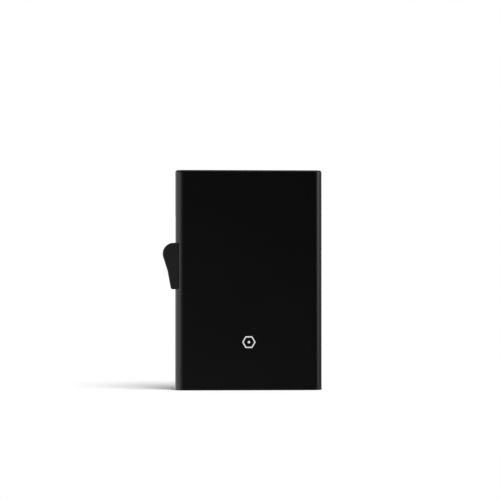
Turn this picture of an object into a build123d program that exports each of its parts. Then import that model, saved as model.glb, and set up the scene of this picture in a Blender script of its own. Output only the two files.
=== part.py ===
"""A slim card wallet: a closed metal case whose side slider lifts the cards out as a fan.

Millimetres. The case stands on its closed end with the mouth up (+Z), the front faces -Y
and the slider is on the -X side. The origin is the centre of the case's lower face.
"""

from build123d import *
import math
import os

os.makedirs("parts", exist_ok=True)

# Case
case_w = 65.5  # across the front
case_d = 8.0  # front to back
case_h = 98.0  # lower face to mouth
wall = 1.2
side_flat = 0.6  # flat left between the two roundings of each side
rim_edge = 0.2  # chamfer round the mouth
foot_edge_r = 0.9  # rounding of the closed end's outer edge

# Cap and its screws
cap_flange = 1.4
plug_h = 2.6
seat_gap = 0.05  # between a plastic piece and the metal it sits in
screw_r = 0.75
screw_head_r = 1.3
screw_head_h = 0.55
screw_sink = 0.1
screw_gap = 0.02
socket_sides = 6
socket_w = 0.9  # across the flats
socket_depth = 0.4

# Rails and mouth
channel_w = 4.05  # from the side wall's crest to the card pocket
rail_inset = 1.25  # the rails' lips stop this far in from the crest
rail_lip = 0.4
rail_web = 0.7
collar_h = 2.4
collar_drop = 0.4  # below the mouth
lining_t = 0.3
lining_w = 40.0
lining_z_min = 34.0
lining_top_gap = 2.2  # below the collar

# Slider
slide_gap = 0.15
wall_gap = 0.3  # between the shutter and the rounded side wall
shutter_t = 0.5
shutter_cover = 0.85  # beyond each end of the slot
stop_gap = 0.05
lower_bumper_t = 0.6
upper_bumper_t = 1.2
lug_w = 2.1
lug_h = 7.4
lug_z = 58.2  # the lug's middle when the slider is down
lug_reach = 2.2  # beyond the case's side
lug_fit = 0.05
slot_end_gap = 0.2
plate_t = 0.8
neck_w = 1.6
tongue_end = 0.6  # the tongue stops this far inside the shoe's outer face
shoe_h = 12.0
rivet_r = 0.6
rivet_head_r = 1.1
rivet_head_h = 0.3
rivet_l = 2.6
rivet_pitch = 36.0
leaf_t = 0.15
leaf_w = 2.2
leaf_l = 9.4
leaf_top_gap = 4.45  # of arm above the leaf's pocket
leaf_pocket = 0.8
leaf_pocket_l = 10.0
leaf_gap = 0.05  # between the leaf's crown and the rail

# Steps under the cards
step_count = 5
step_rise = 1.4
step_floor = 0.95  # plastic under the lowest card
step_play = 0.2  # from the block to each lining
step_end_gap = 0.5

# Trigger
pad_z_min = 44.9
pad_z_max = 65.6
pad_reach = 5.6  # greatest distance beyond the case's side
pad_nose_r = 4.9
pad_overlap = 1.43  # of the pad over the front and back
pad_lip = 0.12  # thickness of the pad where it ends on the front and back
pad_gap = 0.12  # running clearance over the case
pad_break_z = 53.2  # where the thumb face changes its slope
pad_upper_lean = 17.7
pad_lower_lean = 10.5
pad_break_r = 9.0
pad_toe_r = 0.6
pad_rim_r = 0.7
pad_skin = 1.3
pin_r = 0.5
pin_pitch = 4.4
pin_inset = 1.2  # from the case's side
pin_end_gap = 0.2

# Front mark
mark_z = 21.4
mark_r = 3.0
mark_line = 0.62
mark_dot_r = 0.55
mark_depth = 0.3
mark_sides = 6

# Sizes that follow from the ones above
half_w = case_w / 2
half_d = case_d / 2
side_r = half_d - side_flat / 2
inner_w = case_w - 2 * wall
inner_d = case_d - 2 * wall
inner_r = side_r - wall
pocket_w = inner_w - 2 * channel_w
pocket_d = inner_d - 2 * lining_t
plug_top = cap_flange + plug_h
collar_z_max = case_h - collar_drop
collar_z_min = collar_z_max - collar_h
lining_z_max = collar_z_min - lining_top_gap


def half_depth_at(inset, radius):
    """Half the depth of a rounded side, an inset in from its crest."""
    return side_flat / 2 + math.sqrt(radius**2 - (radius - inset) ** 2)


def inset_at(half_depth, radius):
    """How far in from its crest a rounded side is at a half depth."""
    return radius - math.sqrt(radius**2 - (half_depth - side_flat / 2) ** 2)


# Rails: their channel leaves a lip at each opening
channel_half = half_depth_at(rail_inset, inner_r) - seat_gap - rail_lip
channel_floor = inner_w / 2 - channel_w + rail_web
screw_x = inner_w / 2 - channel_w / 2

# Slider: the shutter clears the rounded wall, and the arm fills the rest of the channel
arm_half = channel_half - slide_gap
shutter_x_max = inner_w / 2 - inset_at(arm_half, inner_r) - wall_gap
arm_x_max = shutter_x_max - shutter_t
arm_x_min = channel_floor + slide_gap
arm_z_min = plug_top + lower_bumper_t + stop_gap
plate_z_max = arm_z_min + plate_t
upper_stop_z = collar_z_min - upper_bumper_t
lug_z_min = lug_z - lug_h / 2
lug_z_max = lug_z + lug_h / 2
travel = (upper_stop_z - stop_gap - lug_z_max - slot_end_gap - shutter_cover) / 2
slot_z_min = lug_z_min - slot_end_gap
slot_z_max = lug_z_max + travel + slot_end_gap
arm_z_max = slot_z_max + shutter_cover
leaf_z = arm_z_max - leaf_top_gap - leaf_pocket_l / 2
shutter_z_min = slot_z_min - shutter_cover - travel
slot_w = lug_w + 2 * slide_gap
slit_w = neck_w + 2 * slide_gap
slit_z_max = plate_z_max + travel + wall_gap
step_block_w = pocket_w - 2 * step_end_gap
step_block_d = pocket_d - 2 * step_play
step_d = step_block_d / step_count

# Trigger: the pad's lips stand outside the running clearance
saddle_r = side_r + pad_gap
pad_half = half_depth_at(pad_overlap + pad_gap, saddle_r) + pad_lip
core_half = pad_half - pad_skin
pad_inner_x = half_w - pad_overlap
pin_x = half_w + pin_inset


def block(x_min, x_max, depth, z_min, z_max, mode=Mode.ADD):
    """A box centred on the case's mid-plane, in the part being built."""
    with Locations(((x_min + x_max) / 2, 0, (z_min + z_max) / 2)):
        Box(x_max - x_min, depth, z_max - z_min, mode=mode)


def outline(grow=0.0, mode=Mode.ADD):
    """The case's rounded outline, grown or shrunk all round, in the sketch being made."""
    RectangleRounded(case_w + 2 * grow, case_d + 2 * grow, side_r + grow, mode=mode)


def mark_outline(mode=Mode.ADD):
    """The mark: a six-sided ring round a dot."""
    with Locations((0, mark_z)):
        RegularPolygon(mark_r, mark_sides, mode=mode)
        RegularPolygon(mark_r - mark_line, mark_sides, mode=Mode.SUBTRACT)
        Circle(mark_dot_r, mode=mode)


def save(part, name):
    """Label a finished piece and write it."""
    part.label = name
    export_step(part, f"parts/{name}.step")


front_plane = Plane.XZ.offset(half_d)

# The case: a tube with a slot in its left side and a shallow recess for the mark
with BuildPart() as case_shell:
    with BuildSketch():
        outline()
        outline(-wall, mode=Mode.SUBTRACT)
    extrude(amount=case_h)
    fillet(case_shell.faces().sort_by(Axis.Z)[0].outer_wire().edges(), foot_edge_r)
    chamfer(case_shell.faces().sort_by(Axis.Z)[-1].edges(), rim_edge)
    block(-half_w - wall, -arm_x_max, slot_w, slot_z_min, slot_z_max, mode=Mode.SUBTRACT)
    with BuildSketch(front_plane):
        mark_outline()
    extrude(amount=-mark_depth, mode=Mode.SUBTRACT)
save(case_shell.part, "case_shell")

with BuildPart() as mark_inlay:
    with BuildSketch(front_plane):
        mark_outline()
    extrude(amount=-mark_depth)
save(mark_inlay.part, "mark_inlay")

# The cap: set in the tube's end, flush with its edge, with a plug between the rails' ends
with BuildPart() as bottom_cap:
    with BuildSketch():
        outline(-wall - seat_gap)
    extrude(amount=cap_flange)
    block(-pocket_w / 2, pocket_w / 2, inner_d - 2 * seat_gap, cap_flange, plug_top)
    for side in (-1, 1):
        with Locations(Plane(origin=(side * screw_x, 0, 0), z_dir=(0, 0, -1))):
            CounterSinkHole(
                radius=screw_r + screw_gap,
                counter_sink_radius=screw_head_r + screw_sink + screw_gap,
                depth=cap_flange,
                counter_sink_angle=90,
            )
save(bottom_cap.part, "bottom_cap")

with BuildPart() as cap_screws:
    for side in (-1, 1):
        with BuildSketch(Plane(origin=(side * screw_x, 0, 0), x_dir=(1, 0, 0), z_dir=(0, -1, 0))):
            with BuildLine():
                Polyline(
                    (0, screw_sink),
                    (screw_head_r, screw_sink),
                    (screw_r, screw_sink + screw_head_h),
                    (screw_r, plug_top - screw_sink),
                    (0, plug_top - screw_sink),
                    close=True,
                )
            make_face()
        revolve(axis=Axis((side * screw_x, 0, 0), (0, 0, 1)))
        with BuildSketch(Plane.XY.offset(screw_sink)):
            with Locations((side * screw_x, 0)):
                RegularPolygon(socket_w / 2, socket_sides, major_radius=False)
        extrude(amount=socket_depth, mode=Mode.SUBTRACT)
save(cap_screws.part, "cap_screws")


def rail(side):
    """A plastic channel for one side, with a solid foot for the cap's screw."""
    lip_x = inner_w / 2 - rail_inset
    with BuildPart() as body:
        with BuildSketch(Plane.XY.offset(cap_flange)):
            outline(-wall - seat_gap)
            with Locations((side * (pocket_w / 2 + channel_w / 2), 0)):
                Rectangle(channel_w, case_d, mode=Mode.INTERSECT)
        extrude(amount=collar_z_min - cap_flange)
        open_x = (channel_floor + half_w) / 2 * side
        channel_mid_z = (plug_top + collar_z_min) / 2
        channel_h = collar_z_min - plug_top
        with Locations((open_x, 0, channel_mid_z)):
            Box(half_w - channel_floor, 2 * channel_half, channel_h, mode=Mode.SUBTRACT)
        with Locations(((lip_x + half_w) / 2 * side, 0, channel_mid_z)):
            Box(half_w - lip_x, case_d, channel_h, mode=Mode.SUBTRACT)
        slit_mid_z = (plug_top + slit_z_max) / 2
        with Locations((side * (channel_floor - rail_web / 2), 0, slit_mid_z)):
            Box(2 * rail_web, slit_w, slit_z_max - plug_top, mode=Mode.SUBTRACT)
        with Locations(Plane(origin=(side * screw_x, 0, cap_flange), z_dir=(0, 0, -1))):
            Hole(screw_r + screw_gap, depth=plug_h)
    return body.part


save(rail(-1), "left_rail")
save(rail(1), "right_rail")

# The collar closes both channels and leaves the card pocket open
with BuildPart() as mouth_collar:
    with BuildSketch(Plane.XY.offset(collar_z_min)):
        outline(-wall - seat_gap)
        Rectangle(pocket_w, pocket_d, mode=Mode.SUBTRACT)
    extrude(amount=collar_h)
save(mouth_collar.part, "mouth_collar")


def lining(side):
    """A felt strip on the front or back wall of the pocket."""
    with BuildPart() as strip:
        with Locations((0, side * (inner_d - lining_t) / 2, (lining_z_min + lining_z_max) / 2)):
            Box(lining_w, lining_t, lining_z_max - lining_z_min)
    return strip.part


save(lining(-1), "front_lining")
save(lining(1), "rear_lining")

with BuildPart() as lower_bumper:
    block(-arm_x_max, -arm_x_min, 2 * arm_half, plug_top, plug_top + lower_bumper_t)
save(lower_bumper.part, "lower_bumper")

with BuildPart() as upper_bumper:
    block(-arm_x_max, -arm_x_min, 2 * arm_half, upper_stop_z, collar_z_min)
save(upper_bumper.part, "upper_bumper")

# The arm: a strip in the left channel, a lug through the slot and a plate under the cards
rivet_xs = (-rivet_pitch / 2, rivet_pitch / 2)
pin_zs = (lug_z - pin_pitch / 2, lug_z + pin_pitch / 2)
tongue_x = arm_x_max - tongue_end
with BuildPart() as lift_arm:
    block(-arm_x_max, -arm_x_min, 2 * arm_half, arm_z_min, arm_z_max)
    block(-arm_x_min, tongue_x, neck_w, arm_z_min, plate_z_max)
    block(-step_block_w / 2, step_block_w / 2, step_block_d, arm_z_min, plate_z_max)
    block(-half_w - lug_reach, -arm_x_max, lug_w, lug_z_min, lug_z_max)
    leaf_z_min = leaf_z - leaf_pocket_l / 2
    leaf_z_max = leaf_z + leaf_pocket_l / 2
    leaf_floor = arm_x_min + leaf_pocket
    block(-leaf_floor, -arm_x_min, leaf_w + 2 * slide_gap, leaf_z_min, leaf_z_max, Mode.SUBTRACT)
    for pin_z in pin_zs:
        with Locations(Plane(origin=(-pin_x, 0, pin_z), z_dir=(0, -1, 0))):
            Cylinder(pin_r, 2 * lug_w, mode=Mode.SUBTRACT)
    for rivet_x in rivet_xs:
        with Locations(Plane(origin=(rivet_x, 0, arm_z_min), z_dir=(0, 0, -1))):
            CounterBoreHole(rivet_r, rivet_head_r, rivet_head_h, depth=plate_t)
save(lift_arm.part, "lift_arm")

with BuildPart() as slot_shutter:
    block(-shutter_x_max, -arm_x_max, 2 * arm_half, shutter_z_min, arm_z_max)
    block(-shutter_x_max, -arm_x_max, lug_w, lug_z_min, lug_z_max, mode=Mode.SUBTRACT)
save(slot_shutter.part, "slot_shutter")

# The leaf: its ends rest in the arm's pocket and its crown faces the rail
leaf_crown_x = -channel_floor - leaf_gap
with BuildPart() as drag_leaf:
    with BuildSketch(Plane.XZ):
        with BuildLine():
            leaf_low = (-leaf_floor, leaf_z - leaf_l / 2)
            leaf_high = (-leaf_floor, leaf_z + leaf_l / 2)
            leaf_end = leaf_l / 2 - 2 * leaf_t
            ThreePointArc(leaf_low, (leaf_crown_x, leaf_z), leaf_high)
            Line(leaf_high, (-leaf_floor, leaf_z + leaf_end))
            ThreePointArc(
                (-leaf_floor, leaf_z + leaf_end),
                (leaf_crown_x - leaf_t, leaf_z),
                (-leaf_floor, leaf_z - leaf_end),
            )
            Line((-leaf_floor, leaf_z - leaf_end), leaf_low)
        make_face()
    extrude(amount=leaf_w / 2, both=True)
save(drag_leaf.part, "drag_leaf")

# The step block: one step for each card, rising to the back
rivet_top = arm_z_min + rivet_l
with BuildPart() as step_block:
    for step in range(step_count):
        step_y = -step_block_d / 2 + step * step_d
        step_h = step_floor + step * step_rise
        with Locations((0, step_y, plate_z_max)):
            Box(
                step_block_w,
                step_block_d / 2 - step_y,
                step_h,
                align=(Align.CENTER, Align.MIN, Align.MIN),
            )
    for rivet_x in rivet_xs:
        with Locations((rivet_x, 0, plate_z_max)):
            Cylinder(
                rivet_r,
                rivet_top - plate_z_max,
                align=(Align.CENTER, Align.CENTER, Align.MIN),
                mode=Mode.SUBTRACT,
            )
save(step_block.part, "step_block")

with BuildPart() as step_rivets:
    for rivet_x in rivet_xs:
        with Locations((rivet_x, 0, arm_z_min)):
            Cylinder(rivet_r, rivet_l, align=(Align.CENTER, Align.CENTER, Align.MIN))
            Cylinder(rivet_head_r, rivet_head_h, align=(Align.CENTER, Align.CENTER, Align.MIN))
save(step_rivets.part, "step_rivets")

# The shoe runs in the right rail on the plate's tongue
with BuildPart() as guide_shoe:
    block(arm_x_min, arm_x_max, 2 * arm_half, arm_z_min, arm_z_min + shoe_h)
    block(arm_x_min, tongue_x, neck_w, arm_z_min, plate_z_max, mode=Mode.SUBTRACT)
save(guide_shoe.part, "guide_shoe")

# The trigger's side profile: a round nose over a thumb face with two slopes
nose_z = pad_z_max - pad_nose_r
nose_x = -(half_w + pad_reach - pad_nose_r)
upper_lean = math.radians(pad_upper_lean)
lower_lean = math.radians(pad_lower_lean)
face_x = nose_x - pad_nose_r * math.cos(upper_lean)
face_z = nose_z - pad_nose_r * math.sin(upper_lean)
break_x = face_x + (face_z - pad_break_z) * math.tan(upper_lean)
toe_x = break_x + (pad_break_z - pad_z_min) * math.tan(lower_lean)


with BuildSketch(Plane.XZ) as trigger_side:
    with BuildLine():
        CenterArc((nose_x, nose_z), pad_nose_r, 90, 90 + pad_upper_lean)
        FilletPolyline((face_x, face_z), (break_x, pad_break_z), (toe_x, pad_z_min), radius=pad_break_r)
        Polyline((toe_x, pad_z_min), (-pad_inner_x, pad_z_min), (-pad_inner_x, pad_z_max))
        Line((-pad_inner_x, pad_z_max), (nose_x, pad_z_max))
    make_face()

with BuildPart() as saddle:
    with BuildSketch(Plane.XY.offset(pad_z_min - pad_skin)):
        outline(pad_gap)
    extrude(amount=pad_z_max - pad_z_min + 2 * pad_skin)

with BuildPart() as trigger_core:
    with BuildSketch(Plane.XZ):
        add(trigger_side.sketch_local)
        offset(amount=-pad_skin, kind=Kind.INTERSECTION)
        with Locations((-(pad_inner_x + half_w) / 2 - pad_skin, (pad_z_min + pad_z_max) / 2)):
            Rectangle(pad_overlap, pad_z_max - pad_z_min - 2 * pad_skin)
    extrude(amount=core_half, both=True)
    add(saddle.part, mode=Mode.SUBTRACT)
    core_body = trigger_core.part

with BuildPart() as trigger_pad:
    with BuildSketch(Plane.XZ):
        add(trigger_side.sketch_local)
    extrude(amount=pad_half, both=True)
    toe_edges = trigger_pad.edges().filter_by(Axis.Y).group_by(Axis.Z)[0]
    fillet(toe_edges.sort_by(Axis.X)[0], pad_toe_r)
    inner_edges = trigger_pad.edges().group_by(Axis.X)[-1]
    rims = trigger_pad.faces().filter_by(Axis.Y).edges()
    fillet([edge for edge in rims if edge not in inner_edges], pad_rim_r)
    add(saddle.part, mode=Mode.SUBTRACT)
    add(core_body, mode=Mode.SUBTRACT)
save(trigger_pad.part, "trigger_pad")

with trigger_core:
    block(
        -half_w - lug_reach - lug_fit,
        -pad_inner_x,
        lug_w + 2 * lug_fit,
        lug_z_min - lug_fit,
        lug_z_max + lug_fit,
        mode=Mode.SUBTRACT,
    )
    for pin_z in pin_zs:
        with Locations(Plane(origin=(-pin_x, 0, pin_z), z_dir=(0, -1, 0))):
            Cylinder(pin_r, 2 * (core_half - pin_end_gap), mode=Mode.SUBTRACT)
save(trigger_core.part, "trigger_core")

with BuildPart() as trigger_pins:
    for pin_z in pin_zs:
        with Locations(Plane(origin=(-pin_x, 0, pin_z), z_dir=(0, -1, 0))):
            Cylinder(pin_r, 2 * (core_half - pin_end_gap))
save(trigger_pins.part, "trigger_pins")

print(f"travel {travel:.3f}")
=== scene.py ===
"""Looks of a slim card wallet: a satin black metal case with a fin-shaped side slider.

Everything is in metres, in the frame of the mechanical model: the case stands on its closed
end with its mouth up (+Z), its front faces -Y and the slider is on the -X side.
"""

import logging
import math
from dataclasses import dataclass, field
from enum import Enum

import bmesh
import bpy
from mathutils import Matrix, Vector, noise

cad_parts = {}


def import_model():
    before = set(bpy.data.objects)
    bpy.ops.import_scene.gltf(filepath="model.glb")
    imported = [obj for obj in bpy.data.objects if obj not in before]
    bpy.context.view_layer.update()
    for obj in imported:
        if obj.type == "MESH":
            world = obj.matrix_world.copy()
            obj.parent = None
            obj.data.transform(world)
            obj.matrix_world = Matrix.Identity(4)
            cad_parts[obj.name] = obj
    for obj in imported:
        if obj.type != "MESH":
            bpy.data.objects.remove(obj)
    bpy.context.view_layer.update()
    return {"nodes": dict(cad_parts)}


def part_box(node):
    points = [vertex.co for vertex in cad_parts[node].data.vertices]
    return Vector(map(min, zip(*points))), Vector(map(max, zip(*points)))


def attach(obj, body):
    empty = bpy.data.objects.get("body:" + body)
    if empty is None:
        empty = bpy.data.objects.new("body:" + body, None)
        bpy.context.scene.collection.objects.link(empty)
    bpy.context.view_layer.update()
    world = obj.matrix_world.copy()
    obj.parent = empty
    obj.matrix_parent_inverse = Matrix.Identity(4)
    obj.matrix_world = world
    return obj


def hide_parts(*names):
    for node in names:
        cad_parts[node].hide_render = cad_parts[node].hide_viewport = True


MM = 0.001
WELD_DISTANCE = 0.002 * MM
FLOAT = "NodeSocketFloat"
VECTOR = "NodeSocketVector"
COLOUR = "NodeSocketColor"
SOCKET_KINDS = {float: FLOAT, int: "NodeSocketInt", bpy.types.Material: "NodeSocketMaterial"}
log = logging.getLogger("card_wallet")

Point = tuple[float, float, float]


class Body(Enum):
    """The rigid bodies that pieces ride on."""

    CASE = "case"
    SLIDER = "slider"


class Slot(Enum):
    """The finishes named by the model."""

    ANODISED = "black_anodised"
    TRIGGER = "trigger_plastic"
    INNER = "inner_plastic"
    MARK = "mark_grey"
    STEEL = "steel"
    STEEL_BLACK = "steel_black"
    FELT = "felt"
    RUBBER = "rubber"


# ---------------------------------------------------------------- node helpers


class TreeBuilder:
    """Adds and links nodes in one node tree."""

    def __init__(self, tree: bpy.types.NodeTree) -> None:
        """Starts on a tree.

        Args:
            tree: The tree that the nodes go into.
        """
        self.tree = tree

    def add(self, kind: str, values: dict | None = None, **settings: object) -> bpy.types.Node:
        """Adds one node.

        Args:
            kind: The node's type name.
            values: Input names or numbers, each with a value or a socket that feeds it.
            **settings: The node's own settings.

        Returns:
            The new node.
        """
        node = self.tree.nodes.new(kind)
        for name, value in settings.items():
            setattr(node, name, value)
        for key, value in (values or {}).items():
            self.feed(value, node.inputs[key])
        return node

    def feed(self, source: object, target: bpy.types.NodeSocket) -> None:
        """Links a socket to an input, or sets the input to a value.

        Args:
            source: A socket or a value.
            target: The input.
        """
        if isinstance(source, bpy.types.NodeSocket):
            self.tree.links.new(source, target)
        else:
            target.default_value = source

    def math(self, operation: str, first: object, second: object = 0.0) -> bpy.types.NodeSocket:
        """Adds a Math node.

        Args:
            operation: The Math node's operation.
            first: A socket or a number.
            second: A socket or a number.

        Returns:
            The result's socket.
        """
        return self.add("ShaderNodeMath", {0: first, 1: second}, operation=operation).outputs[0]

    def vector(self, **parts: object) -> bpy.types.NodeSocket:
        """Makes a vector.

        Args:
            **parts: X, Y and Z, each a socket or a number; 0 where left out.

        Returns:
            The vector's socket.
        """
        return self.add("ShaderNodeCombineXYZ", parts).outputs[0]

    def moved(self, geometry: bpy.types.NodeSocket, **parts: object) -> bpy.types.NodeSocket:
        """Moves a geometry.

        Args:
            geometry: The geometry's socket.
            **parts: X, Y and Z of the move, each a socket or a number.

        Returns:
            The moved geometry's socket.
        """
        values = {"Geometry": geometry, "Translation": self.vector(**parts)}
        return self.add("GeometryNodeTransform", values).outputs[0]

    def finish(self, geometry: bpy.types.NodeSocket, material: bpy.types.NodeSocket) -> None:
        """Ends a geometry tree with plain, painted mesh.

        Args:
            geometry: The geometry's socket.
            material: The material's socket.
        """
        real = self.add("GeometryNodeRealizeInstances", {0: geometry})
        paint = {"Geometry": real.outputs[0], "Material": material}
        painted = self.add("GeometryNodeSetMaterial", paint)
        self.add("NodeGroupOutput", {"Geometry": painted.outputs[0]})


def new_group(
    name: str, kind: str, inputs: dict, outputs: dict
) -> tuple[bpy.types.NodeTree, TreeBuilder, bpy.types.NodeOutputs]:
    """Makes an empty node group with named sockets.

    Args:
        name: The group's name.
        kind: ShaderNodeTree or GeometryNodeTree.
        inputs: Input names, each with its socket type and default value.
        outputs: Output names, each with its socket type.

    Returns:
        The group, a builder for it and the sockets that bring its inputs.
    """
    tree = bpy.data.node_groups.new(name, kind)
    for label, (socket_type, value) in inputs.items():
        socket = tree.interface.new_socket(name=label, in_out="INPUT", socket_type=socket_type)
        if value is not None:
            socket.default_value = value
    for label, socket_type in outputs.items():
        tree.interface.new_socket(name=label, in_out="OUTPUT", socket_type=socket_type)
    build = TreeBuilder(tree)
    return tree, build, build.add("NodeGroupInput").outputs


def sized_group(
    name: str, sizes: dict[str, object]
) -> tuple[bpy.types.NodeTree, TreeBuilder, bpy.types.NodeOutputs]:
    """Makes an empty Geometry Nodes group with one input for each size.

    Args:
        name: The group's name.
        sizes: The sizes by input name, with the material among them.

    Returns:
        The group, a builder for it and the sockets that bring its inputs.
    """
    inputs = {label: (SOCKET_KINDS[type(value)], value) for label, value in sizes.items()}
    return new_group(name, "GeometryNodeTree", inputs, {"Geometry": "NodeSocketGeometry"})


# ---------------------------------------------------------------- shader groups


@dataclass
class SurfaceEffects:
    """Shader groups that several finishes share."""

    groups: dict[str, bpy.types.NodeTree] = field(default_factory=dict)

    def grain(self) -> bpy.types.NodeTree:
        """Fine even grain, as on blasted metal or spark-eroded plastic.

        Returns:
            A group with Vector and Size inputs and a Height output.
        """
        if "grain" not in self.groups:
            tree, build, given = new_group(
                "fine_grain",
                "ShaderNodeTree",
                {"Vector": (VECTOR, None), "Size": (FLOAT, 0.0001)},
                {"Height": FLOAT},
            )
            where = {"Vector": given["Vector"], "Scale": build.math("DIVIDE", 1.0, given["Size"])}
            cells = build.add("ShaderNodeTexNoise", {**where, "Detail": 3.0, "Roughness": 0.6})
            pits = build.add("ShaderNodeTexVoronoi", where, feature="SMOOTH_F1")
            pitting = build.math("MULTIPLY", pits.outputs["Distance"], 0.5)
            height = build.math("ADD", cells.outputs["Fac"], pitting)
            build.add("NodeGroupOutput", {"Height": height})
            self.groups["grain"] = tree
        return self.groups["grain"]

    def handling(self) -> bpy.types.NodeTree:
        """Broad soft patches where hands and pockets have polished a surface.

        Returns:
            A group with Vector, Size, Colour, Worn Colour, Roughness and Spread inputs and
            Colour and Roughness outputs.
        """
        if "handling" not in self.groups:
            tree, build, given = new_group(
                "handling_marks",
                "ShaderNodeTree",
                {
                    "Vector": (VECTOR, None),
                    "Size": (FLOAT, 0.02),
                    "Colour": (COLOUR, (0.01, 0.01, 0.01, 1.0)),
                    "Worn Colour": (COLOUR, (0.02, 0.02, 0.02, 1.0)),
                    "Roughness": (FLOAT, 0.4),
                    "Spread": (FLOAT, 0.06),
                },
                {"Colour": COLOUR, "Roughness": FLOAT},
            )
            where = {"Vector": given["Vector"], "Scale": build.math("DIVIDE", 1.0, given["Size"])}
            looks = {"Detail": 4.0, "Roughness": 0.55, "Distortion": 0.4}
            patches = build.add("ShaderNodeTexNoise", {**where, **looks}).outputs["Fac"]
            colours = {0: patches, 6: given["Colour"], 7: given["Worn Colour"]}
            colour = build.add("ShaderNodeMix", colours, data_type="RGBA").outputs[2]
            swing = build.math("MULTIPLY", build.math("SUBTRACT", patches, 0.5), given["Spread"])
            roughness = build.math("ADD", given["Roughness"], swing)
            build.add("NodeGroupOutput", {"Colour": colour, "Roughness": roughness})
            self.groups["handling"] = tree
        return self.groups["handling"]

    def strands(self) -> bpy.types.NodeTree:
        """Long fine lines, stretched along one axis, as on brushed steel or felt.

        Returns:
            A group with Vector, Size and Stretch inputs and a Height output.
        """
        if "strands" not in self.groups:
            tree, build, given = new_group(
                "fine_strands",
                "ShaderNodeTree",
                {
                    "Vector": (VECTOR, None),
                    "Size": (FLOAT, 0.0001),
                    "Stretch": (VECTOR, (1.0, 1.0, 0.04)),
                },
                {"Height": FLOAT},
            )
            pulled = {0: given["Vector"], 1: given["Stretch"]}
            stretch = build.add("ShaderNodeVectorMath", pulled, operation="MULTIPLY").outputs[0]
            where = {"Vector": stretch, "Scale": build.math("DIVIDE", 1.0, given["Size"])}
            looks = {"Detail": 5.0, "Roughness": 0.65, "Distortion": 0.3}
            lines = build.add("ShaderNodeTexNoise", {**where, **looks})
            build.add("NodeGroupOutput", {"Height": lines.outputs["Fac"]})
            self.groups["strands"] = tree
        return self.groups["strands"]


@dataclass(frozen=True)
class Finish:
    """One finish: a colour that wears, a roughness that varies and a fine relief."""

    name: str
    colour: tuple[float, float, float]
    worn: tuple[float, float, float]
    roughness: float
    spread: float = 0.06
    patch: float = 0.02
    metallic: float = 0.0
    specular: float = 0.5
    relief: str = "grain"
    relief_size: float = 0.00012
    relief_depth: float = 0.02 * MM
    relief_strength: float = 0.2
    stretch: tuple[float, float, float] = (1.0, 1.0, 0.04)
    sheen: float = 0.0

    def material(self, effects: SurfaceEffects) -> bpy.types.Material:
        """Builds the material.

        Args:
            effects: The shared shader groups.

        Returns:
            The new material.
        """
        material = bpy.data.materials.new(self.name)
        material.use_nodes = True
        material.node_tree.nodes.clear()
        build = TreeBuilder(material.node_tree)
        place = build.add("ShaderNodeTexCoord").outputs["Object"]
        worn = {
            "Vector": place,
            "Size": self.patch,
            "Colour": (*self.colour, 1.0),
            "Worn Colour": (*self.worn, 1.0),
            "Roughness": self.roughness,
            "Spread": self.spread,
        }
        wear = build.add("ShaderNodeGroup", worn, node_tree=effects.handling())
        pattern = {"Vector": place, "Size": self.relief_size}
        tree = effects.grain()
        if self.relief == "strands":
            pattern["Stretch"] = self.stretch
            tree = effects.strands()
        relief = build.add("ShaderNodeGroup", pattern, node_tree=tree)
        raised = {
            "Strength": self.relief_strength,
            "Distance": self.relief_depth,
            "Height": relief.outputs["Height"],
        }
        bump = build.add("ShaderNodeBump", raised)
        values = {
            "Metallic": self.metallic,
            "Specular IOR Level": self.specular,
            "Sheen Weight": self.sheen,
            "Base Color": wear.outputs["Colour"],
            "Roughness": wear.outputs["Roughness"],
            "Normal": bump.outputs["Normal"],
        }
        shader = build.add("ShaderNodeBsdfPrincipled", values)
        build.add("ShaderNodeOutputMaterial", {"Surface": shader.outputs[0]})
        return material


FINISHES = {
    Slot.ANODISED: Finish(
        "satin_black_anodising", (0.0004, 0.0004, 0.0005), (0.0006, 0.0006, 0.0007), 0.22,
        spread=0.04, patch=0.03, specular=0.10, relief_size=0.00009, relief_strength=0.12,
    ),
    Slot.TRIGGER: Finish(
        "black_moulded_grip", (0.0042, 0.0042, 0.0044), (0.0054, 0.0054, 0.0056), 0.50,
        patch=0.006, specular=0.08, relief_size=0.00014, relief_strength=0.2,
    ),
    Slot.INNER: Finish(
        "dark_moulded_plastic", (0.010, 0.010, 0.011), (0.016, 0.016, 0.017), 0.5,
        patch=0.008, specular=0.4, relief_size=0.00016,
    ),
    Slot.MARK: Finish(
        "grey_fill", (0.62, 0.62, 0.62), (0.70, 0.70, 0.70), 0.45,
        patch=0.003, relief_size=0.00008, relief_strength=0.1,
    ),
    Slot.STEEL: Finish(
        "brushed_strip_steel", (0.42, 0.42, 0.43), (0.55, 0.55, 0.56), 0.32,
        metallic=1.0, relief="strands", relief_size=0.00010, relief_strength=0.15,
    ),
    Slot.STEEL_BLACK: Finish(
        "blackened_steel", (0.010, 0.010, 0.011), (0.05, 0.05, 0.05), 0.38,
        patch=0.0008, metallic=0.6, relief_size=0.00006, relief_strength=0.1,
    ),
    Slot.FELT: Finish(
        "charcoal_felt", (0.012, 0.012, 0.014), (0.030, 0.030, 0.033), 0.95,
        patch=0.0012, specular=0.1, relief="strands", relief_size=0.00022, relief_strength=0.9,
        relief_depth=0.06 * MM, stretch=(1.0, 0.3, 0.35), sheen=0.3,
    ),
    Slot.RUBBER: Finish(
        "stop_rubber", (0.008, 0.008, 0.008), (0.014, 0.014, 0.014), 0.75,
        patch=0.002, specular=0.3, relief_size=0.00010,
    ),
}


# ---------------------------------------------------------------- mesh helpers


def placed(name: str, data: bpy.types.ID) -> bpy.types.Object:
    """Puts a mesh, a light or a camera in the scene as an object.

    Args:
        name: The object's name.
        data: The mesh, light or camera.

    Returns:
        The new object.
    """
    piece = bpy.data.objects.new(name, data)
    bpy.context.scene.collection.objects.link(piece)
    return piece


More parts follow.
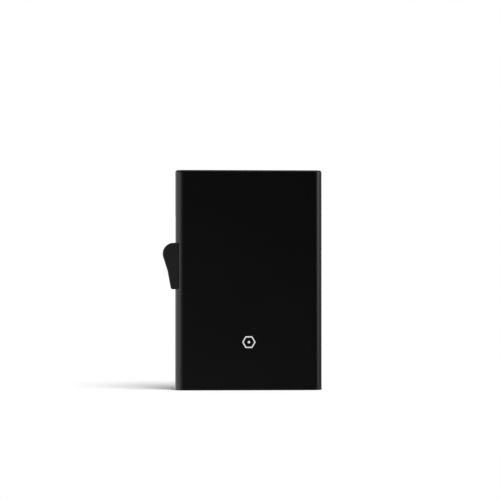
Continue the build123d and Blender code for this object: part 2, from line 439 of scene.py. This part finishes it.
@dataclass
class Workshop:
    """Makes mesh pieces, dresses them and puts them on their bodies."""

    effects: SurfaceEffects
    crease_margin: float = 12.0
    face_weight: int = 80
    flatness: float = 0.5
    materials: dict[Slot, bpy.types.Material] = field(default_factory=dict)

    def material(self, slot: Slot) -> bpy.types.Material:
        """The material of a slot, made on first use.

        Args:
            slot: The finish.

        Returns:
            The material.
        """
        if slot not in self.materials:
            self.materials[slot] = FINISHES[slot].material(self.effects)
        return self.materials[slot]

    def from_bmesh(self, name: str, shape: bmesh.types.BMesh) -> bpy.types.Object:
        """Turns a finished bmesh into an object, with its normals facing outwards.

        Args:
            name: The object's name.
            shape: The bmesh, which is freed.

        Returns:
            The new object.
        """
        bmesh.ops.recalc_face_normals(shape, faces=shape.faces)
        mesh = bpy.data.meshes.new(name)
        shape.to_mesh(mesh)
        shape.free()
        return placed(name, mesh)

    def bake(self, piece: bpy.types.Object) -> None:
        """Turns a piece's modifiers into plain mesh and removes them.

        Args:
            piece: The piece.
        """
        graph = bpy.context.evaluated_depsgraph_get()
        graph.update()
        mesh = bpy.data.meshes.new_from_object(piece.evaluated_get(graph), depsgraph=graph)
        piece.modifiers.clear()
        piece.data = mesh

    def cut(
        self, piece: bpy.types.Object, cutter: bpy.types.Object, operation: str = "DIFFERENCE"
    ) -> None:
        """Cuts a piece with, or joins it to, another shape, which is then removed.

        Args:
            piece: The piece that is changed.
            cutter: The other shape.
            operation: DIFFERENCE or UNION.
        """
        modifier = piece.modifiers.new("cut", "BOOLEAN")
        modifier.object = cutter
        modifier.operation = operation
        modifier.solver = "EXACT"
        self.bake(piece)
        bpy.data.objects.remove(cutter)

    def soften(
        self, piece: bpy.types.Object, bevel: float, segments: int = 2, angle: float = 30.0
    ) -> None:
        """Rounds a piece's sharp edges and gives it clean shading.

        Args:
            piece: The piece.
            bevel: The width of each rounding, or 0 for none.
            segments: Faces across each rounding.
            angle: Edges sharper than this, in degrees, are rounded.
        """
        if bevel:
            modifier = piece.modifiers.new("edges", "BEVEL")
            modifier.width = bevel
            modifier.segments = segments
            modifier.limit_method = "ANGLE"
            modifier.angle_limit = math.radians(angle)
            self.bake(piece)
        piece.data.polygons.foreach_set("use_smooth", [True] * len(piece.data.polygons))
        piece.data.set_sharp_from_angle(angle=math.radians(angle + self.crease_margin))
        weights = piece.modifiers.new("shading", "WEIGHTED_NORMAL")
        weights.keep_sharp = True
        weights.weight = self.face_weight
        self.bake(piece)

    def dress(self, piece: bpy.types.Object, slot: Slot, body: Body, *nodes: str) -> None:
        """Gives a piece its material and its body, in place of CAD nodes.

        Args:
            piece: The piece.
            slot: Its finish.
            body: The body it rides on.
            *nodes: The CAD nodes that it stands for.
        """
        piece.data.materials.clear()
        piece.data.materials.append(self.material(slot))
        for polygon in piece.data.polygons:
            polygon.material_index = 0
        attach(piece, body.value)
        if nodes:
            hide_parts(*nodes)
        log.info("%s: %d faces on %s", piece.name, len(piece.data.polygons), body.value)

    def copy_of(self, node: bpy.types.Object, name: str) -> bpy.types.Object:
        """A merged copy of a CAD node, with its flat faces in one piece each.

        Args:
            node: The CAD node's object.
            name: The copy's name.

        Returns:
            The copy, as a separate object.
        """
        shape = bmesh.new()
        shape.from_mesh(node.data)
        bmesh.ops.remove_doubles(shape, verts=shape.verts, dist=WELD_DISTANCE)
        bmesh.ops.dissolve_limit(
            shape, angle_limit=math.radians(self.flatness), verts=shape.verts, edges=shape.edges
        )
        return self.from_bmesh(name, shape)

    def grown(
        self, kind: bpy.types.NodeTree, name: str, sizes: dict[str, object]
    ) -> bpy.types.Object:
        """Runs a Geometry Nodes tree and keeps its result as a plain mesh.

        Args:
            kind: The tree.
            name: The piece's name.
            sizes: The tree's inputs by name.

        Returns:
            The finished object.
        """
        piece = placed(name, bpy.data.meshes.new(name))
        modifier = piece.modifiers.new("growth", "NODES")
        modifier.node_group = kind
        for item in kind.interface.items_tree:
            if item.item_type == "SOCKET" and item.in_out == "INPUT" and item.name in sizes:
                modifier[item.identifier] = sizes[item.name]
        self.bake(piece)
        return piece


def rounded_outline(
    width: float, depth: float, radius: float, steps: int
) -> list[tuple[float, float]]:
    """Points round a rectangle with rounded corners, anticlockwise.

    Args:
        width: Size along X.
        depth: Size along Y.
        radius: The corners' radius.
        steps: Points on each corner, less one.

    Returns:
        The outline's points.
    """
    points = []
    for quarter, (side_x, side_y) in enumerate(((1, 1), (-1, 1), (-1, -1), (1, -1))):
        centre_x = side_x * (width / 2 - radius)
        centre_y = side_y * (depth / 2 - radius)
        for step in range(steps + 1):
            angle = math.radians(90 * (quarter + step / steps))
            x = centre_x + radius * math.cos(angle)
            points.append((x, centre_y + radius * math.sin(angle)))
    return points


def lofted(rings: list[list[Point]]) -> bmesh.types.BMesh:
    """A closed solid through a stack of rings that have the same number of points.

    Args:
        rings: The rings, from first to last.

    Returns:
        The solid, with both ends filled.
    """
    shape = bmesh.new()
    loops = [[shape.verts.new(point) for point in ring] for ring in rings]
    count = len(rings[0])
    for low, high in zip(loops, loops[1:]):
        for index in range(count):
            after = (index + 1) % count
            shape.faces.new((low[index], low[after], high[after], high[index]))
    shape.faces.new(list(reversed(loops[0])))
    shape.faces.new(loops[-1])
    return shape


def boxed(low: Vector, high: Vector) -> bmesh.types.BMesh:
    """A box between two corners.

    Args:
        low: The lowest corner.
        high: The highest corner.

    Returns:
        The box.
    """
    shape = bmesh.new()
    bmesh.ops.create_cube(shape, size=1.0)
    place = Matrix.Translation((low + high) / 2) @ Matrix.Diagonal((*(high - low), 1.0))
    bmesh.ops.transform(shape, matrix=place, verts=shape.verts)
    return shape


# ---------------------------------------------------------------- the case


@dataclass
class CaseTube:
    """The case's drawn tube, with its slot and the recess for the mark."""

    shop: Workshop
    nodes: dict[str, bpy.types.Object]
    wall: float = 1.2 * MM
    side_flat: float = 0.6 * MM
    rim_radius: float = 0.2 * MM
    foot_radius: float = 0.9 * MM
    seam_radius: float = 0.06 * MM
    slot_width: float = 2.4 * MM
    slot_low: float = 54.3 * MM
    slot_high: float = 77.6 * MM
    edge_steps: int = 8
    corner_steps: int = 28
    crease: float = 24.0

    def tree(self, sizes: dict[str, object]) -> bpy.types.NodeTree:
        """The rule for the tube: a wall section carried round the rounded outline.

        Args:
            sizes: The tube's inputs by name.

        Returns:
            The Geometry Nodes tree.
        """
        tree, build, given = sized_group("drawn_tube", sizes)

        def middle(label: str) -> bpy.types.NodeSocket:
            """The level halfway between two inputs, as in Low and High."""
            total = build.math("ADD", given[f"{label}High"], given[f"{label}Low"])
            return build.math("MULTIPLY", total, 0.5)

        def height(label: str) -> bpy.types.NodeSocket:
            """The distance between two inputs, as in Low and High."""
            return build.math("SUBTRACT", given[f"{label}High"], given[f"{label}Low"])

        wall = given["Wall"]
        half_wall = build.math("MULTIPLY", wall, 0.5)
        oblong = {
            "Width": build.math("SUBTRACT", given["Width"], wall),
            "Height": build.math("SUBTRACT", given["Depth"], wall),
        }
        path = build.add("GeometryNodeCurvePrimitiveQuadrilateral", oblong)
        corners = {
            "Curve": path.outputs[0],
            "Count": given["Corner Steps"],
            "Radius": build.math("SUBTRACT", given["Side Radius"], half_wall),
        }
        bend = build.add("GeometryNodeFilletCurve", corners, mode="POLY")
        slab = {"Width": wall, "Height": height("")}
        section = build.add("GeometryNodeCurvePrimitiveQuadrilateral", slab)
        place = build.add("GeometryNodeInputPosition")
        split = build.add("ShaderNodeSeparateXYZ", {0: place.outputs[0]})
        foot = {
            "Switch": build.math("GREATER_THAN", split.outputs["X"], 0.0),
            "False": given["Seam Radius"],
            "True": given["Foot Radius"],
        }
        lower = build.add("GeometryNodeSwitch", foot, input_type="FLOAT")
        either = {
            "Switch": build.math("GREATER_THAN", split.outputs["Y"], 0.0),
            "False": lower.outputs[0],
            "True": given["Rim Radius"],
        }
        radius = build.add("GeometryNodeSwitch", either, input_type="FLOAT")
        edges = {
            "Curve": section.outputs[0],
            "Count": given["Edge Steps"],
            "Radius": radius.outputs[0],
        }
        lip = build.add("GeometryNodeFilletCurve", edges, mode="POLY")
        wrapped = {"Curve": bend.outputs[0], "Profile Curve": lip.outputs[0]}
        tube = build.add("GeometryNodeCurveToMesh", wrapped)
        mill_size = build.vector(
            X=build.math("MULTIPLY", given["Side Radius"], 2.0),
            Y=given["Slot Width"],
            Z=height("Slot "),
        )
        tool = build.add("GeometryNodeMeshCube", {"Size": mill_size})
        side = build.math("MULTIPLY", given["Width"], -0.5)
        milled = {
            "Mesh 1": build.moved(tube.outputs[0], Z=middle("")),
            "Mesh 2": build.moved(tool.outputs["Mesh"], X=side, Z=middle("Slot ")),
        }
        mill = build.add(
            "GeometryNodeMeshBoolean", milled, operation="DIFFERENCE", solver="EXACT"
        )
        build.finish(mill.outputs["Mesh"], given["Material"])
        return tree

    def build(self) -> None:
        """Makes the tube."""
        low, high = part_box("case_shell")
        sizes = {
            "Width": high.x - low.x,
            "Depth": high.y - low.y,
            "Side Radius": (high.y - low.y - self.side_flat) / 2,
            "Wall": self.wall,
            "Low": low.z,
            "High": high.z,
            "Rim Radius": self.rim_radius,
            "Foot Radius": self.foot_radius,
            "Seam Radius": self.seam_radius,
            "Edge Steps": self.edge_steps,
            "Corner Steps": self.corner_steps,
            "Slot Width": self.slot_width,
            "Slot Low": self.slot_low,
            "Slot High": self.slot_high,
            "Material": self.shop.material(Slot.ANODISED),
        }
        tube = self.shop.grown(self.tree(sizes), "case_tube", sizes)
        self.shop.cut(tube, self.shop.copy_of(self.nodes["mark_inlay"], "mark_tool"))
        self.shop.soften(tube, 0.0, angle=self.crease)
        self.shop.dress(tube, Slot.ANODISED, Body.CASE, "case_shell")


@dataclass
class EndCap:
    """The cap set in the closed end, with two countersunk socket screws."""

    shop: Workshop
    side_flat: float = 0.6 * MM
    seam_radius: float = 0.06 * MM
    seam_steps: int = 3
    flange: float = 1.4 * MM
    corner_steps: int = 28
    plug_depth: float = 5.4 * MM
    head_radius: float = 1.3 * MM
    head_height: float = 0.55 * MM
    shank_radius: float = 0.75 * MM
    sink: float = 0.1 * MM
    gap: float = 0.02 * MM
    socket_radius: float = 0.52 * MM
    socket_depth: float = 0.4 * MM
    socket_sides: int = 6
    screw_steps: int = 48
    seat_steps: int = 64
    screw_edge: float = 0.03 * MM
    crease: float = 24.0

    def screw_tree(self, sizes: dict[str, object]) -> bpy.types.NodeTree:
        """The rule for a row of countersunk screws with six-sided sockets.

        Args:
            sizes: The screws' inputs by name.

        Returns:
            The Geometry Nodes tree.
        """
        tree, build, given = sized_group("socket_screws", sizes)
        length = build.math("SUBTRACT", given["High"], given["Low"])
        taper = {
            "Vertices": given["Round Steps"],
            "Radius Top": given["Shank Radius"],
            "Radius Bottom": given["Head Radius"],
            "Depth": given["Head Height"],
        }
        head = build.add("GeometryNodeMeshCone", taper)
        rod = {
            "Vertices": given["Round Steps"],
            "Radius": given["Shank Radius"],
            "Depth": build.math("SUBTRACT", length, given["Head Height"]),
        }
        shank = build.add("GeometryNodeMeshCylinder", rod)
        reach = build.math("ADD", length, given["Head Height"])
        raised = build.moved(shank.outputs["Mesh"], Z=build.math("MULTIPLY", reach, 0.5))
        joined = build.add("GeometryNodeMeshBoolean", operation="UNION", solver="EXACT")
        for part in (head.outputs["Mesh"], raised):
            build.feed(part, joined.inputs["Mesh 2"])
        hexagon = {
            "Vertices": given["Socket Sides"],
            "Radius": given["Socket Radius"],
            "Depth": build.math("MULTIPLY", given["Socket Depth"], 2.0),
        }
        socket = build.add("GeometryNodeMeshCylinder", hexagon)
        cut = {"Mesh 1": joined.outputs["Mesh"], "Mesh 2": socket.outputs["Mesh"]}
        drilled = build.add(
            "GeometryNodeMeshBoolean", cut, operation="DIFFERENCE", solver="EXACT"
        )
        first = build.vector(X=build.math("MULTIPLY", given["Spacing"], -0.5), Z=given["Low"])
        line = {
            "Count": given["Count"],
            "Start Location": first,
            "Offset": build.vector(X=given["Spacing"]),
        }
        row = build.add("GeometryNodeMeshLine", line, mode="OFFSET")
        copies = {"Points": row.outputs["Mesh"], "Instance": drilled.outputs["Mesh"]}
        spread = build.add("GeometryNodeInstanceOnPoints", copies)
        build.finish(spread.outputs[0], given["Material"])
        return tree

    def flange_rings(self, width: float, depth: float) -> list[list[Point]]:
        """The flange's outline, level by level, from its lower face up.

        Args:
            width: The flange's width.
            depth: The flange's depth.

        Returns:
            The rings.
        """
        radius = (depth - self.side_flat) / 2
        levels = []
        for step in range(self.seam_steps + 1):
            angle = math.radians(90 * step / self.seam_steps)
            inset = self.seam_radius * (1 - math.sin(angle))
            levels.append((inset, self.seam_radius * (1 - math.cos(angle))))
        levels.append((0.0, self.flange))
        rings = []
        for inset, level in levels:
            sizes = (width - 2 * inset, depth - 2 * inset, radius - inset)
            outline = rounded_outline(*sizes, self.corner_steps)
            rings.append([(x, y, level) for x, y in outline])
        return rings

    def countersink(self, centre_x: float) -> bpy.types.Object:
        """The tool that cuts one screw's seat through the flange.

        Args:
            centre_x: Where the screw is.

        Returns:
            The tool, as an object.
        """
        mouth = self.head_radius + self.sink + self.gap
        bore = self.shank_radius + self.gap
        levels = ((mouth + self.sink, -self.sink), (bore, mouth - bore), (bore, 2 * self.flange))
        turn = [math.tau * step / self.seat_steps for step in range(self.seat_steps)]
        circle = [(math.cos(angle), math.sin(angle)) for angle in turn]
        rings = []
        for radius, level in levels:
            rings.append([(centre_x + radius * x, radius * y, level) for x, y in circle])
        return self.shop.from_bmesh("seat_tool", lofted(rings))

    def build(self) -> None:
        """Makes the cap and its screws."""
        low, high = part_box("bottom_cap")
        rings = self.flange_rings(high.x - low.x, high.y - low.y)
        cap = self.shop.from_bmesh("end_cap", lofted(rings))
        plug_low = Vector((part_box("left_rail")[1].x, -self.plug_depth / 2, self.flange / 2))
        plug_high = Vector((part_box("right_rail")[0].x, self.plug_depth / 2, high.z))
        self.shop.cut(cap, self.shop.from_bmesh("plug_tool", boxed(plug_low, plug_high)), "UNION")
        screws_low, screws_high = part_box("cap_screws")
        spacing = screws_high.x - screws_low.x - 2 * self.head_radius
        for side in (-1, 1):
            self.shop.cut(cap, self.countersink(side * spacing / 2))
        self.shop.soften(cap, 0.0, angle=self.crease)
        self.shop.dress(cap, Slot.ANODISED, Body.CASE, "bottom_cap")
        sizes = {
            "Head Radius": self.head_radius,
            "Head Height": self.head_height,
            "Shank Radius": self.shank_radius,
            "Low": screws_low.z,
            "High": screws_high.z,
            "Round Steps": self.screw_steps,
            "Socket Sides": self.socket_sides,
            "Socket Radius": self.socket_radius,
            "Socket Depth": self.socket_depth,
            "Spacing": spacing,
            "Count": 2,
            "Material": self.shop.material(Slot.STEEL_BLACK),
        }
        screws = self.shop.grown(self.screw_tree(sizes), "countersunk_screws", sizes)
        self.shop.soften(screws, self.screw_edge)
        self.shop.dress(screws, Slot.STEEL_BLACK, Body.CASE, "cap_screws")


@dataclass
class FeltLining:
    """A felt strip on the front or back wall of the pocket."""

    shop: Workshop
    node: str
    name: str
    cell: float = 0.6 * MM
    fuzz: float = 0.05 * MM
    fuzz_size: float = 0.9 * MM
    fuzz_octaves: int = 3
    edge: float = 0.12 * MM
    crease: float = 40.0

    def build(self) -> None:
        """Makes the strip: flat on the wall, uneven and soft-edged towards the cards."""
        low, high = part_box(self.node)
        columns = round((high.x - low.x) / self.cell)
        rows = round((high.z - low.z) / self.cell)
        towards_cards = 1.0 if abs(low.y) > abs(high.y) else -1.0
        wall_y = low.y if towards_cards > 0 else high.y
        thick = high.y - low.y
        shape = bmesh.new()
        sheets = []
        for front in (False, True):
            sheet = []
            for row in range(rows + 1):
                z = low.z + (high.z - low.z) * row / rows
                line = []
                for column in range(columns + 1):
                    x = low.x + (high.x - low.x) * column / columns
                    depth = 0.0
                    if front:
                        place = Vector((x, wall_y, z)) / self.fuzz_size
                        nap = 0.5 + 0.5 * noise.fractal(place, 1.0, 2.0, self.fuzz_octaves)
                        rim = min(row, rows - row, column, columns - column)
                        depth = thick - self.fuzz * min(1.0, max(0.0, nap))
                        depth -= self.edge if rim == 0 else 0.0
                    line.append(shape.verts.new((x, wall_y + towards_cards * depth, z)))
                sheet.append(line)
            sheets.append(sheet)
        for sheet in sheets:
            for below, above in zip(sheet, sheet[1:]):
                for column in range(columns):
                    after = column + 1
                    shape.faces.new((below[column], below[after], above[after], above[column]))
        back, face = sheets
        border = [(0, c) for c in range(columns)] + [(r, columns) for r in range(rows)]
        border += [(rows, c) for c in range(columns, 0, -1)] + [(r, 0) for r in range(rows, 0, -1)]
        for (row, column), (next_row, next_column) in zip(border, border[1:] + border[:1]):
            near = (back[row][column], back[next_row][next_column])
            far = (face[next_row][next_column], face[row][column])
            shape.faces.new((*near, *far))
        strip = self.shop.from_bmesh(self.name, shape)
        self.shop.soften(strip, 0.0, angle=self.crease)
        self.shop.dress(strip, Slot.FELT, Body.CASE, self.node)


@dataclass
class ThumbTrigger:
    """The fin that the thumb pushes, saddled over the case's rounded side."""

    shop: Workshop
    nodes: dict[str, bpy.types.Object]
    reach: float = 5.6 * MM
    nose_radius: float = 4.9 * MM
    upper_lean: float = 17.7
    lower_lean: float = 10.5
    break_height: float = 53.2 * MM
    break_radius: float = 9.0 * MM
    running_gap: float = 0.12 * MM
    side_flat: float = 0.6 * MM
    rim: float = 0.75 * MM
    rim_steps: int = 6
    nose_steps: int = 28
    break_steps: int = 6
    saddle_steps: int = 40
    crease: float = 28.0

    def profile(self) -> list[tuple[float, float]]:
        """The fin's side outline in X and Z, from the top of the nose round to the case.

        Returns:
            The outline's points.
        """
        case_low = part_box("case_shell")[0]
        low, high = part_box("trigger_pad")
        centre_x = case_low.x - self.reach + self.nose_radius
        centre_z = high.z - self.nose_radius
        upper = math.radians(self.upper_lean)
        lower = math.radians(self.lower_lean)
        points = []
        turn = math.radians(90) + upper
        for step in range(self.nose_steps + 1):
            angle = math.radians(90) + turn * step / self.nose_steps
            x = centre_x + self.nose_radius * math.cos(angle)
            points.append((x, centre_z + self.nose_radius * math.sin(angle)))
        face_x, face_z = points[-1]
        break_x = face_x + (face_z - self.break_height) * math.tan(upper)
        toe_x = break_x + (self.break_height - low.z) * math.tan(lower)
        bend = self.break_radius * math.tan((upper - lower) / 2)
        corner = Vector((break_x, self.break_height))
        start = corner + bend * Vector((-math.sin(upper), math.cos(upper)))
        finish = corner + bend * Vector((math.sin(lower), -math.cos(lower)))
        for step in range(self.break_steps + 1):
            share = step / self.break_steps
            point = start.lerp(corner, share).lerp(corner.lerp(finish, share), share)
            points.append((point.x, point.y))
        points.append((toe_x, low.z))
        points.append((high.x, low.z))
        points.append((high.x, high.z))
        return points

    def saddle_tool(self) -> bpy.types.Object:
        """The case's outline, grown by the running clearance, as a cutting tool.

        Returns:
            The tool, as an object.
        """
        case_low, case_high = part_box("case_shell")
        low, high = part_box("trigger_pad")
        width = case_high.x - case_low.x + 2 * self.running_gap
        depth = case_high.y - case_low.y + 2 * self.running_gap
        radius = (depth - self.side_flat) / 2
        outline = rounded_outline(width, depth, radius, self.saddle_steps)
        levels = (low.z - self.rim, high.z + self.rim)
        rings = [[(x, y, level) for x, y in outline] for level in levels]
        return self.shop.from_bmesh("saddle_tool", lofted(rings))

    def core_tool(self) -> bpy.types.Object:
        """A plain shape round the stiff core, which hollows the pad.

        Returns:
            The tool, as an object.
        """
        shape = bmesh.new()
        shape.from_mesh(self.nodes["trigger_core"].data)
        bmesh.ops.remove_doubles(shape, verts=shape.verts, dist=WELD_DISTANCE)
        points = [vert.co.copy() for vert in shape.verts]
        shape.free()
        hull = bmesh.new()
        for point in points:
            hull.verts.new(point)
        result = bmesh.ops.convex_hull(hull, input=hull.verts)
        left_over = result["geom_interior"] + result["geom_unused"]
        loose = [item for item in set(left_over) if isinstance(item, bmesh.types.BMVert)]
        bmesh.ops.delete(hull, geom=loose, context="VERTS")
        return self.shop.from_bmesh("core_tool", hull)

    def build(self) -> None:
        """Makes the fin."""
        low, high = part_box("trigger_pad")
        outline = self.profile()
        rings = [[(x, y, z) for x, z in outline] for y in (low.y, high.y)]
        pad = self.shop.from_bmesh("thumb_fin", lofted(rings))
        weights = pad.data.attributes.new("bevel_weight_edge", "FLOAT", "EDGE")
        for edge in pad.data.edges:
            ends = [pad.data.vertices[index].co for index in edge.vertices]
            on_face = abs(ends[0].y - ends[1].y) < WELD_DISTANCE
            at_case = all(end.x > high.x - WELD_DISTANCE for end in ends)
            low_down = ends[0].z < low.z + WELD_DISTANCE
            at_toe = not on_face and low_down and ends[0].x < high.x - WELD_DISTANCE
            rounded = (on_face and not at_case) or at_toe
            weights.data[edge.index].value = 1.0 if rounded else 0.0
        rounding = pad.modifiers.new("rim", "BEVEL")
        rounding.width = self.rim
        rounding.segments = self.rim_steps
        rounding.limit_method = "WEIGHT"
        self.shop.bake(pad)
        self.shop.cut(pad, self.saddle_tool())
        self.shop.cut(pad, self.core_tool())
        self.shop.soften(pad, 0.0, angle=self.crease)
        self.shop.dress(pad, Slot.TRIGGER, Body.SLIDER, "trigger_pad")


@dataclass(frozen=True)
class FittedPiece:
    """A piece that keeps its mechanical shape and gets rounded edges and a finish."""

    node: str
    name: str
    slot: Slot
    body: Body
    bevel: float
    segments: int = 2

    def build(self, shop: Workshop, nodes: dict[str, bpy.types.Object]) -> None:
        """Makes the piece.

        Args:
            shop: Where pieces are made.
            nodes: The CAD nodes by name.
        """
        piece = shop.copy_of(nodes[self.node], self.name)
        shop.soften(piece, self.bevel, self.segments)
        shop.dress(piece, self.slot, self.body, self.node)


FITTED_PIECES = (
    FittedPiece("mark_inlay", "front_mark", Slot.MARK, Body.CASE, 0.03 * MM),
    FittedPiece("mouth_collar", "mouth_ring", Slot.INNER, Body.CASE, 0.1 * MM, 3),
    FittedPiece("left_rail", "guide_rail_left", Slot.INNER, Body.CASE, 0.06 * MM),
    FittedPiece("right_rail", "guide_rail_right", Slot.INNER, Body.CASE, 0.06 * MM),
    FittedPiece("upper_bumper", "stop_upper", Slot.RUBBER, Body.CASE, 0.2 * MM, 4),
    FittedPiece("lower_bumper", "stop_lower", Slot.RUBBER, Body.CASE, 0.15 * MM, 4),
    FittedPiece("trigger_core", "fin_core", Slot.INNER, Body.SLIDER, 0.05 * MM),
    FittedPiece("trigger_pins", "fin_pins", Slot.STEEL, Body.SLIDER, 0.08 * MM, 3),
    FittedPiece("lift_arm", "lifting_arm", Slot.STEEL, Body.SLIDER, 0.06 * MM),
    FittedPiece("step_block", "card_steps", Slot.INNER, Body.SLIDER, 0.08 * MM, 3),
    FittedPiece("step_rivets", "plate_rivets", Slot.STEEL, Body.SLIDER, 0.05 * MM),
    FittedPiece("guide_shoe", "sliding_shoe", Slot.INNER, Body.SLIDER, 0.12 * MM, 3),
    FittedPiece("slot_shutter", "slot_strip", Slot.INNER, Body.SLIDER, 0.05 * MM),
    FittedPiece("drag_leaf", "bowed_leaf", Slot.STEEL, Body.SLIDER, 0.0),
)


# ---------------------------------------------------------------- the stage


@dataclass(frozen=True)
class Softbox:
    """One broad soft light in the surround, with edges that fade.

    The bearing is in degrees to the right of straight in front, and the rise in degrees above
    level. The width and the height are in degrees from the middle to where the light has faded
    to about a third.
    """

    bearing: float
    rise: float
    width: float
    height: float
    strength: float

    def glow(
        self, build: TreeBuilder, heading: bpy.types.NodeSocket, rise: bpy.types.NodeSocket
    ) -> bpy.types.NodeSocket:
        """Adds the nodes for this light's brightness in each direction.

        Args:
            build: The surround's tree.
            heading: Degrees to the right of straight in front.
            rise: Degrees above level.

        Returns:
            The brightness.
        """
        turned = build.math("SUBTRACT", heading, self.bearing - 180.0)
        wrapped = build.math("FLOORED_MODULO", turned, 360.0)
        aside = build.math("DIVIDE", build.math("SUBTRACT", wrapped, 180.0), self.width)
        above = build.math("DIVIDE", build.math("SUBTRACT", rise, self.rise), self.height)
        squares = [build.math("MULTIPLY", part, part) for part in (aside, above)]
        spread = build.math("ADD", *squares)
        fade = build.math("POWER", math.e, build.math("MULTIPLY", spread, -1.0))
        return build.math("MULTIPLY", fade, self.strength)


@dataclass
class Studio:
    """Floor, light and camera."""

    frame_width: float = 223.64 * MM
    distance: float = 0.80
    elevation: float = -0.9
    yaw: float = -2.6
    aim: Point = (0.67 * MM, 0.0, 62.44 * MM)
    sensor: float = 36.0
    nearest: float = 0.01
    paper: float = 0.80
    floor_steps: int = 96
    floor_radius: float = 0.30
    floor_drop: float = 0.02 * MM
    sun_from: Point = (0.36, -0.40, 0.95)
    sun_strength: float = 3.4
    sun_spread: float = 42.0
    sky: float = 0.02
    fill: float = 0.38
    softboxes: tuple[Softbox, ...] = (
        Softbox(bearing=-70.0, rise=0.0, width=38.0, height=22.0, strength=7.2),
        Softbox(bearing=-135.0, rise=0.0, width=30.0, height=30.0, strength=2.5),
        Softbox(bearing=70.0, rise=14.0, width=21.0, height=16.0, strength=14.0),
        Softbox(bearing=150.0, rise=-5.0, width=28.0, height=25.0, strength=1.5),
        Softbox(bearing=0.0, rise=-30.0, width=40.0, height=15.0, strength=5.0),
        Softbox(bearing=0.0, rise=-90.0, width=1000.0, height=45.0, strength=1.6),
    )

    def floor(self) -> None:
        """Makes the pale floor, which is clear from below and in reflections."""
        shape = bmesh.new()
        bmesh.ops.create_circle(
            shape, cap_ends=True, segments=self.floor_steps, radius=self.floor_radius
        )
        bmesh.ops.translate(shape, vec=(0.0, 0.0, -self.floor_drop), verts=shape.verts)
        mesh = bpy.data.meshes.new("floor")
        shape.to_mesh(mesh)
        shape.free()
        material = bpy.data.materials.new("white_paper")
        material.use_nodes = True
        material.node_tree.nodes.clear()
        build = TreeBuilder(material.node_tree)
        grey = (self.paper, self.paper, self.paper, 1.0)
        paper = build.add("ShaderNodeBsdfDiffuse", {"Color": grey})
        clear = build.add("ShaderNodeBsdfTransparent")
        back = build.add("ShaderNodeNewGeometry").outputs["Backfacing"]
        mirrored = build.add("ShaderNodeLightPath").outputs["Is Glossy Ray"]
        sides = {
            0: build.math("MAXIMUM", back, mirrored),
            1: paper.outputs[0],
            2: clear.outputs[0],
        }
        mix = build.add("ShaderNodeMixShader", sides)
        build.add("ShaderNodeOutputMaterial", {"Surface": mix.outputs[0]})
        mesh.materials.append(material)
        floor = placed("floor", mesh)

    def sun(self) -> None:
        """Adds a broad soft light from the front, above and to the right."""
        light = bpy.data.lights.new("key", "SUN")
        light.energy = self.sun_strength
        light.angle = math.radians(self.sun_spread)
        lamp = placed("key", light)
        lamp.rotation_euler = Vector(self.sun_from).to_track_quat("Z", "Y").to_euler()

    def surround(self) -> None:
        """Sets a surround that is white to the eye.

        Surfaces reflect the softboxes, and the plain fill lights the floor.
        """
        world = bpy.data.worlds.new("surround")
        world.use_nodes = True
        world.node_tree.nodes.clear()
        build = TreeBuilder(world.node_tree)
        place = build.add("ShaderNodeTexCoord").outputs["Generated"]
        parts = build.add("ShaderNodeSeparateXYZ", {0: place}).outputs
        front = build.math("MULTIPLY", parts["Y"], -1.0)
        turn = build.math("ARCTAN2", parts["X"], front)
        heading = build.math("MULTIPLY", turn, math.degrees(1.0))
        rise = build.math("MULTIPLY", build.math("ARCSINE", parts["Z"]), math.degrees(1.0))
        ray = build.add("ShaderNodeLightPath").outputs
        total: object = 0.0
        for softbox in self.softboxes:
            total = build.math("ADD", softbox.glow(build, heading, rise), total)
        total = build.math("MULTIPLY", total, ray["Is Glossy Ray"])
        total = build.math("ADD", total, build.math("MULTIPLY", ray["Is Diffuse Ray"], self.fill))
        total = build.math("ADD", total, self.sky)
        white = {"Color": (1.0, 1.0, 1.0, 1.0)}
        seen = build.add("ShaderNodeBackground", {**white, "Strength": 1.0})
        lit = build.add("ShaderNodeBackground", {**white, "Strength": total})
        both = {0: ray["Is Camera Ray"], 1: lit.outputs[0], 2: seen.outputs[0]}
        mix = build.add("ShaderNodeMixShader", both)
        build.add("ShaderNodeOutputWorld", {"Surface": mix.outputs[0]})
        bpy.context.scene.world = world

    def camera(self) -> None:
        """Sets the camera in front, a little to the left, level with the case's middle."""
        data = bpy.data.cameras.new("camera")
        data.sensor_width = self.sensor
        data.lens = self.sensor * self.distance / self.frame_width
        data.clip_start = self.nearest
        camera = placed("camera", data)
        rise = math.radians(self.elevation)
        turn = math.radians(self.yaw)
        level = math.cos(rise)
        away = Vector((math.sin(turn) * level, -math.cos(turn) * level, math.sin(rise)))
        camera.location = Vector(self.aim) + away * self.distance
        camera.rotation_euler = (-away).to_track_quat("-Z", "Y").to_euler()
        bpy.context.scene.camera = camera

    def build(self) -> None:
        """Sets the whole stage."""
        self.floor()
        self.surround()
        self.sun()
        self.camera()
        bpy.context.scene.view_settings.view_transform = "Standard"
        log.info("stage set")


def main() -> None:
    """Builds the wallet's looks round the mechanical model."""
    logging.basicConfig(level=logging.INFO, format="%(name)s: %(message)s")
    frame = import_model()
    nodes = frame["nodes"]
    shop = Workshop(SurfaceEffects())
    CaseTube(shop, nodes).build()
    EndCap(shop).build()
    FeltLining(shop, "front_lining", "felt_front").build()
    FeltLining(shop, "rear_lining", "felt_rear").build()
    ThumbTrigger(shop, nodes).build()
    for piece in FITTED_PIECES:
        piece.build(shop, nodes)
    Studio().build()


if __name__ == "__main__":
    main()
